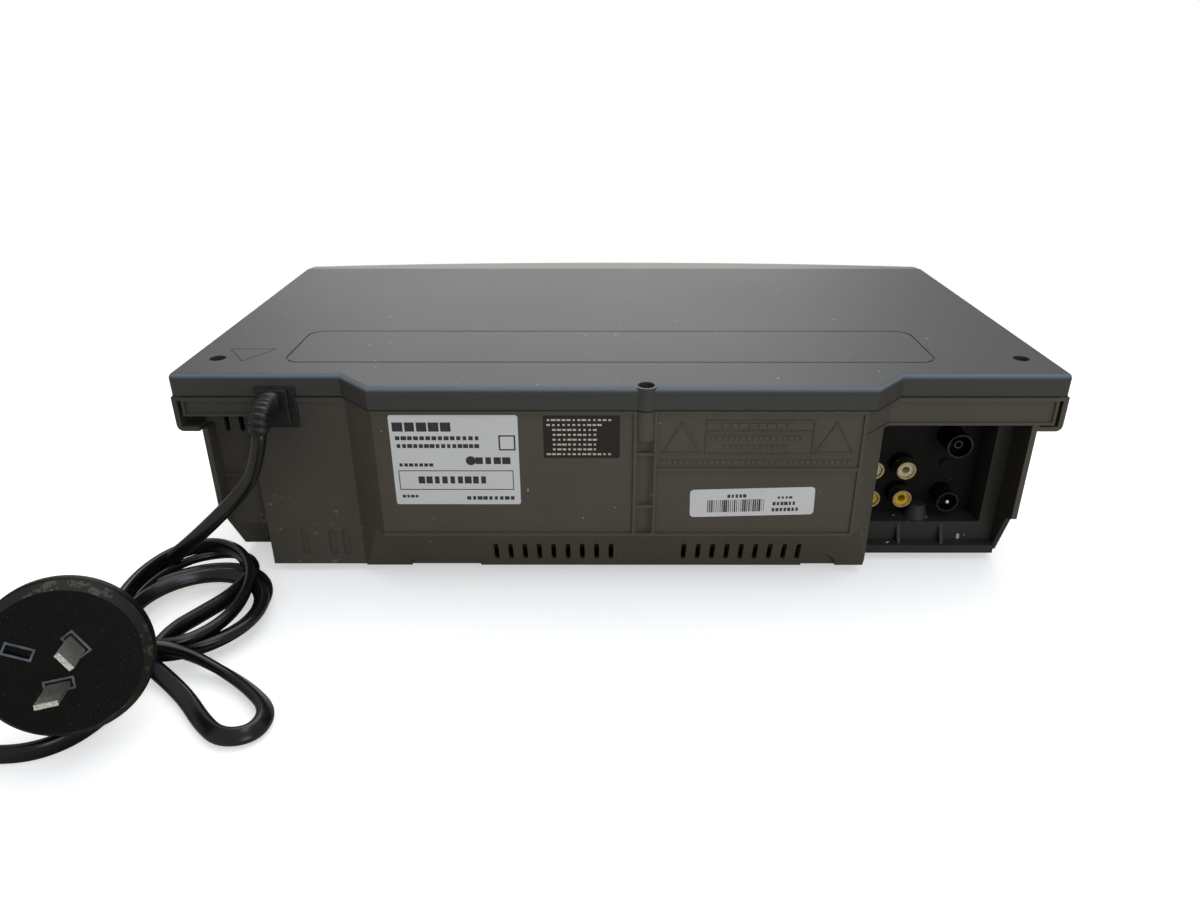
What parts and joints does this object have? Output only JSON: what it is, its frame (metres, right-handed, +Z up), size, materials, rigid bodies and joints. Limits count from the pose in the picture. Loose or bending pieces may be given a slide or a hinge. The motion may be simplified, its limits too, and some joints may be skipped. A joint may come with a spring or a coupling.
{
  "type": "video cassette recorder",
  "caption": "Home video cassette recorder with moulded cover, front-loading cassette door, working tape deck, rear socket bay and mains lead with round plug",
  "frame": {"origin": "middle of the cabinet's footprint, on the surface that it stands on", "axes": "+X to the mains side (the right seen from the rear is -X), +Y to the rear, +Z up"},
  "size_m": [0.4178, 0.3368, 0.092],
  "materials": {
    "cover": "dark grey textured moulding",
    "case": "brown-grey textured moulding",
    "fascia": "warm grey painted moulding",
    "door": "warm grey moulding",
    "window": "smoked clear plastic",
    "button": "light grey moulding",
    "foot": "black rubber",
    "screw": "black plated steel",
    "steel": "zinc plated steel",
    "board": "brown resin board",
    "part_black": "black moulded component",
    "tube_glass": "display tube glass",
    "copper": "laminated core with taped winding",
    "panel": "black panel",
    "shell": "pale gold plating",
    "nickel": "nickel plating",
    "cream": "cream insulator",
    "yellow": "yellow insulator",
    "relief": "soft black moulding",
    "lead": "black flexible sheath",
    "plug": "black moulded plug",
    "blade": "dulled plated brass",
    "drum": "polished aluminium",
    "inner_plastic": "natural acetal",
    "belt": "rubber"
  },
  "bodies": {
    "cabinet": {"top_cover": "cover", "bottom_case": "case", "front_fascia": "fascia", "door_spring": "steel", "display_window": "window", "feet": "foot", "cover_screws": "screw", "front_board": "board", "display_tube": "tube_glass", "tact_switches": "part_black", "front_jacks": "part_black", "main_board": "board", "transformer": "copper", "mains_capacitor": "part_black", "heat_sink": "drum", "modulator_can": "steel", "aerial_socket": "nickel", "rf_out_plug": "nickel", "terminal_panel": "panel", "jack_block": "panel", "jack_shells": "shell", "audio_inserts": "cream", "video_inserts": "yellow", "strain_relief": "relief", "mains_lead": "lead", "lead_hank": "lead", "lead_tail": "lead", "mains_plug": "plug", "plug_blades": "blade", "deck_chassis": "steel", "lower_drum": "drum", "drive_belt": "belt", "loading_motor": "steel", "head_stack": "steel"},
    "door": {"cassette_door": "door"},
    "slider": {"holder_slider": "inner_plastic"},
    "holder": {"cassette_holder": "steel"},
    "drum_rotor": {"upper_drum": "drum", "drum_motor": "steel"},
    "capstan": {"capstan": "steel"},
    "clutch": {"clutch_pulley": "inner_plastic"},
    "idler_arm": {"idler_arm": "steel"},
    "idler_wheel": {"idler_wheel": "belt"},
    "supply_reel": {"supply_reel": "inner_plastic"},
    "takeup_reel": {"takeup_reel": "inner_plastic"},
    "cam": {"cam_gear": "inner_plastic"},
    "worm": {"loading_worm": "inner_plastic"},
    "pinch_arm": {"pinch_arm": "steel"},
    "pinch_roller": {"pinch_roller": "belt"},
    "supply_guide": {"supply_guide": "inner_plastic"},
    "takeup_guide": {"takeup_guide": "inner_plastic"},
    "tension_arm": {"tension_arm": "steel"},
    "power_key": {"power_button": "button"},
    "channel_up_key": {"channel_up_button": "button"},
    "channel_down_key": {"channel_down_button": "button"},
    "eject_key": {"eject_button": "button"},
    "play_key": {"play_button": "button"},
    "rewind_key": {"rewind_button": "button"},
    "forward_key": {"forward_button": "button"},
    "record_key": {"record_button": "button"}
  },
  "joints": [
    {"name": "door_hinge", "type": "hinge", "parent": "cabinet", "child": "door", "pos_m": [0, -0.1015, 0.0777], "axis": [1, 0, 0], "range_deg": [0, 90], "stiffness_Nm_per_rad": 0.004, "springref_deg": -34.38},
    {"name": "power_press", "type": "slide", "parent": "cabinet", "child": "power_key", "axis": [0.0933, 0.9956, 0], "range_m": [0, 0.0007], "stiffness_N_per_m": 400},
    {"name": "channel_up_press", "type": "slide", "parent": "cabinet", "child": "channel_up_key", "axis": [0.1013, 0.9949, 0], "range_m": [0, 0.0007], "stiffness_N_per_m": 400},
    {"name": "channel_down_press", "type": "slide", "parent": "cabinet", "child": "channel_down_key", "axis": [0.0853, 0.9964, 0], "range_m": [0, 0.0007], "stiffness_N_per_m": 400},
    {"name": "eject_press", "type": "slide", "parent": "cabinet", "child": "eject_key", "axis": [-0.0933, 0.9956, 0], "range_m": [0, 0.0007], "stiffness_N_per_m": 400},
    {"name": "play_press", "type": "slide", "parent": "cabinet", "child": "play_key", "axis": [-0.0933, 0.9956, 0], "range_m": [0, 0.0007], "stiffness_N_per_m": 400},
    {"name": "rewind_press", "type": "slide", "parent": "cabinet", "child": "rewind_key", "axis": [-0.0853, 0.9964, 0], "range_m": [0, 0.0007], "stiffness_N_per_m": 400},
    {"name": "forward_press", "type": "slide", "parent": "cabinet", "child": "forward_key", "axis": [-0.1013, 0.9949, 0], "range_m": [0, 0.0007], "stiffness_N_per_m": 400},
    {"name": "record_press", "type": "slide", "parent": "cabinet", "child": "record_key", "axis": [-0.0933, 0.9956, 0], "range_m": [0, 0.0007], "stiffness_N_per_m": 400},
    {"name": "slider_travel", "type": "slide", "parent": "cabinet", "child": "slider", "axis": [0, 1, 0], "range_m": [0, 0.063]},
    {"name": "holder_drop", "type": "slide", "parent": "slider", "child": "holder", "axis": [0, 0, -1], "range_m": [0, 0.012]},
    {"name": "drum_spin", "type": "hinge", "parent": "cabinet", "child": "drum_rotor", "pos_m": [0, 0.062, 0.025], "axis": [0, 0.0993, 0.9951], "continuous": true},
    {"name": "capstan_spin", "type": "hinge", "parent": "cabinet", "child": "capstan", "pos_m": [0.058, 0.036, 0.016], "axis": [0, 0, 1], "continuous": true},
    {"name": "clutch_spin", "type": "hinge", "parent": "cabinet", "child": "clutch", "pos_m": [0, -0.0275, 0.016], "axis": [0, 0, 1], "continuous": true},
    {"name": "idler_swing", "type": "hinge", "parent": "cabinet", "child": "idler_arm", "pos_m": [0, -0.0275, 0.027], "axis": [0, 0, 1], "range_deg": [-66, 66]},
    {"name": "idler_spin", "type": "hinge", "parent": "idler_arm", "child": "idler_wheel", "pos_m": [0, -0.0468, 0.024], "axis": [0, 0, 1], "continuous": true},
    {"name": "supply_spin", "type": "hinge", "parent": "cabinet", "child": "supply_reel", "pos_m": [-0.046, -0.0275, 0.025], "axis": [0, 0, 1], "continuous": true},
    {"name": "takeup_spin", "type": "hinge", "parent": "cabinet", "child": "takeup_reel", "pos_m": [0.046, -0.0275, 0.025], "axis": [0, 0, 1], "continuous": true},
    {"name": "cam_turn", "type": "hinge", "parent": "cabinet", "child": "cam", "pos_m": [-0.076, 0.062, 0.03], "axis": [0, 0, 1], "range_deg": [0, 270]},
    {"name": "worm_spin", "type": "hinge", "parent": "cabinet", "child": "worm", "pos_m": [-0.076, 0.087, 0.03], "axis": [1, 0, 0], "continuous": true},
    {"name": "pinch_swing", "type": "hinge", "parent": "cabinet", "child": "pinch_arm", "pos_m": [0.088, 0.04, 0.025], "axis": [0, 0, 1], "range_deg": [0, 36]},
    {"name": "pinch_roller_spin", "type": "hinge", "parent": "pinch_arm", "child": "pinch_roller", "pos_m": [0.06922, 0.05067, 0.035], "axis": [0, 0, 1], "continuous": true},
    {"name": "supply_guide_swing", "type": "hinge", "parent": "cabinet", "child": "supply_guide", "pos_m": [0.0453, 0.0753, 0.022], "axis": [0, 0, 1], "range_deg": [-34.8, 0]},
    {"name": "takeup_guide_swing", "type": "hinge", "parent": "cabinet", "child": "takeup_guide", "pos_m": [-0.0453, 0.0753, 0.022], "axis": [0, 0, 1], "range_deg": [0, 34.8]},
    {"name": "tension_swing", "type": "hinge", "parent": "cabinet", "child": "tension_arm", "pos_m": [-0.084, 0.018, 0.024], "axis": [0, 0, 1], "range_deg": [0, 10]}
  ],
  "couplings": [
    {"joint": "clutch_spin", "follows": "capstan_spin", "ratio": 1.4615},
    {"joint": "pinch_swing", "follows": "cam_turn", "ratio": 0.1333},
    {"joint": "supply_guide_swing", "follows": "cam_turn", "ratio": -0.1288},
    {"joint": "takeup_guide_swing", "follows": "cam_turn", "ratio": 0.1288},
    {"joint": "tension_swing", "follows": "cam_turn", "ratio": 0.037}
  ]
}
